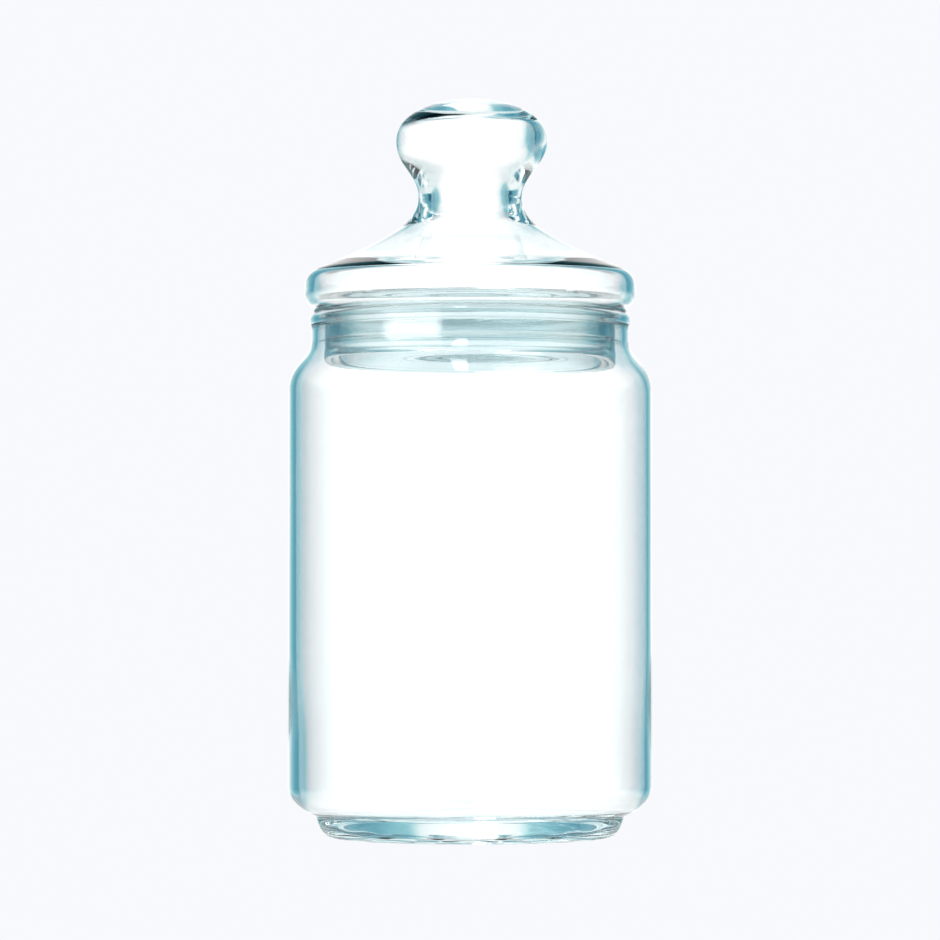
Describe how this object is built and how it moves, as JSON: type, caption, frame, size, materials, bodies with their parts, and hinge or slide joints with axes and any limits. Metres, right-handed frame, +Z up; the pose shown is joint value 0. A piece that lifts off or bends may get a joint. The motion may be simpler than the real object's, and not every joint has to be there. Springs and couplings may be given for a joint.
{
  "type": "glass storage jar with knob lid",
  "caption": "Clear glass storage jar, short neck and stepped foot, closed by a blown glass lid with a hollow knob and a plastic seal ring round its plug.",
  "frame": {"origin": "centre of the foot, on the surface the jar stands on", "axes": "+Z up along the axis of the jar and its lid; +X and +Y are any two directions across, because the jar is round"},
  "size_m": [0.105, 0.105, 0.2136],
  "materials": {
    "jar_glass": "clear glass with a faint blue-green tint, polished",
    "lid_glass": "clear blown glass with a faint blue-green tint, polished",
    "seal_plastic": "translucent soft plastic, satin"
  },
  "bodies": {
    "jar": {"jar_body": "jar_glass"},
    "seal": {"seal_ring": "seal_plastic"},
    "lid": {"lid": "lid_glass"}
  },
  "joints": [
    {"name": "seal_lift", "type": "slide", "parent": "jar", "child": "seal", "axis": [0, 0, 1], "range_m": [0, 0.06]},
    {"name": "lid_off_seal", "type": "slide", "parent": "seal", "child": "lid", "axis": [0, 0, 1], "range_m": [0, 0.035]}
  ]
}
